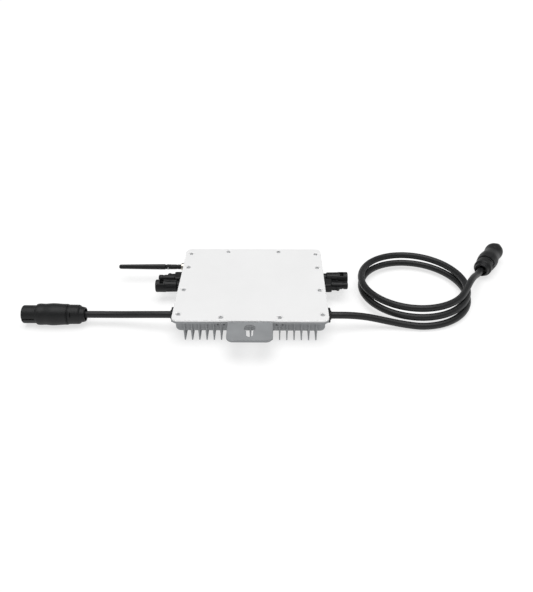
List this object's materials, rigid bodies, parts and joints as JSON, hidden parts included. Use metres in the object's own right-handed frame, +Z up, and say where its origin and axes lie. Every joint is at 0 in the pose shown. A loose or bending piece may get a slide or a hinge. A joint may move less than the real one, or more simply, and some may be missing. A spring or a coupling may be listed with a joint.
{
  "type": "microinverter",
  "caption": "Flat finned box inverter with a keyhole mounting ear, DC connector pairs on both sides, a hinged antenna and two AC trunk leads with round connectors.",
  "frame": {"origin": "middle of the plane that the cooling fins stand on, on the centre fin", "axes": "+Z up through the lid, +X to the right seen from the mounting ear, the ear points to -Y"},
  "size_m": [0.7947, 0.3106, 0.04],
  "materials": {
    "die_cast_aluminium": "bead-blasted die casting with a clear conversion coat",
    "white_powder_coat": "fine satin powder coat",
    "silicone_rubber": "moulded",
    "stainless_steel": "plain",
    "black_ppo": "moulded, fine satin",
    "black_nylon": "moulded glass-filled nylon",
    "grey_nylon": "moulded",
    "antenna_black": "moulded TPE skin",
    "nickel_plated_brass": "nickel plate",
    "tinned_copper": "tin plate",
    "cable_jacket": "extruded TPE",
    "circuit_board": "solder mask",
    "tinned_can": "tinned can",
    "black_epoxy": "moulded",
    "thermal_pad": "silicone sheet",
    "ferrite": "ground ferrite",
    "winding_tape": "polyester tape",
    "capacitor_sleeve": "shrink sleeve",
    "enamelled_copper": "enamelled wire",
    "film_box": "moulded box",
    "wire_black": "extruded",
    "wire_red": "extruded",
    "terminal_green": "moulded"
  },
  "bodies": {
    "box": {"ac_gland_left": "black_nylon", "ac_gland_nuts": "black_nylon", "ac_gland_right": "black_nylon", "ac_gland_seals": "silicone_rubber", "ac_left_lead": "cable_jacket", "ac_left_plug_insert": "grey_nylon", "ac_left_plug_nut": "black_nylon", "ac_left_plug_seal": "silicone_rubber", "ac_left_plug_shell": "black_nylon", "ac_left_plug_sockets": "tinned_copper", "ac_right_coil": "cable_jacket", "ac_right_lead": "cable_jacket", "ac_right_plug_insert": "grey_nylon", "ac_right_plug_nut": "black_nylon", "ac_right_plug_pins": "tinned_copper", "ac_right_plug_seal": "silicone_rubber", "ac_right_plug_shell": "black_nylon", "ac_right_tail": "cable_jacket", "ac_wires": "wire_black", "antenna_pigtail": "wire_black", "board_screws": "stainless_steel", "control_module": "circuit_board", "dc_left_nose": "black_ppo", "dc_left_sleeve": "black_ppo", "dc_panel_nuts": "black_ppo", "dc_panel_seals": "silicone_rubber", "dc_pin_contacts": "tinned_copper", "dc_right_nose": "black_ppo", "dc_right_sleeve": "black_ppo", "dc_socket_contacts": "tinned_copper", "dc_wires": "wire_red", "film_capacitors": "film_box", "grid_relays": "black_epoxy", "heatsink_housing": "die_cast_aluminium", "input_capacitors": "capacitor_sleeve", "lid": "white_powder_coat", "lid_gasket": "silicone_rubber", "lid_screws": "stainless_steel", "main_board": "circuit_board", "mounting_ear": "die_cast_aluminium", "output_choke_core": "ferrite", "output_choke_winding": "enamelled_copper", "power_transistors": "black_epoxy", "radio_module": "tinned_can", "sma_jack": "nickel_plated_brass", "sma_nut": "nickel_plated_brass", "terminal_blocks": "terminal_green", "thermal_pads": "thermal_pad", "transformer_cores": "ferrite", "transformer_windings": "winding_tape"},
    "antenna_swivel": {"antenna_base": "antenna_black", "antenna_hinge_pin": "stainless_steel"},
    "antenna_whip": {"antenna_whip": "antenna_black"},
    "left_latch_front": {"dc_left_latch_front": "black_ppo"},
    "left_latch_back": {"dc_left_latch_back": "black_ppo"},
    "right_latch_front": {"dc_right_latch_front": "black_ppo"},
    "right_latch_back": {"dc_right_latch_back": "black_ppo"}
  },
  "joints": [
    {"name": "antenna_turn", "type": "hinge", "parent": "box", "child": "antenna_swivel", "pos_m": [-0.135, 0.07, 0.025], "axis": [-1, 0, 0], "continuous": true},
    {"name": "antenna_tilt", "type": "hinge", "parent": "antenna_swivel", "child": "antenna_whip", "pos_m": [-0.144, 0.07, 0.025], "axis": [0, 1, 0], "range_deg": [0, 90]},
    {"name": "left_latch_front_flex", "type": "hinge", "parent": "box", "child": "left_latch_front", "pos_m": [-0.1269, 0.0238, 0.025], "axis": [0, 0, -1], "range_deg": [0, 3.5], "stiffness_Nm_per_rad": 0.5},
    {"name": "left_latch_back_flex", "type": "hinge", "parent": "box", "child": "left_latch_back", "pos_m": [-0.1269, 0.0422, 0.025], "axis": [0, 0, 1], "range_deg": [0, 3.5], "stiffness_Nm_per_rad": 0.5},
    {"name": "right_latch_front_flex", "type": "hinge", "parent": "box", "child": "right_latch_front", "pos_m": [0.1269, 0.0038, 0.025], "axis": [0, 0, 1], "range_deg": [0, 3.5], "stiffness_Nm_per_rad": 0.5},
    {"name": "right_latch_back_flex", "type": "hinge", "parent": "box", "child": "right_latch_back", "pos_m": [0.1269, 0.0222, 0.025], "axis": [0, 0, -1], "range_deg": [0, 3.5], "stiffness_Nm_per_rad": 0.5}
  ]
}
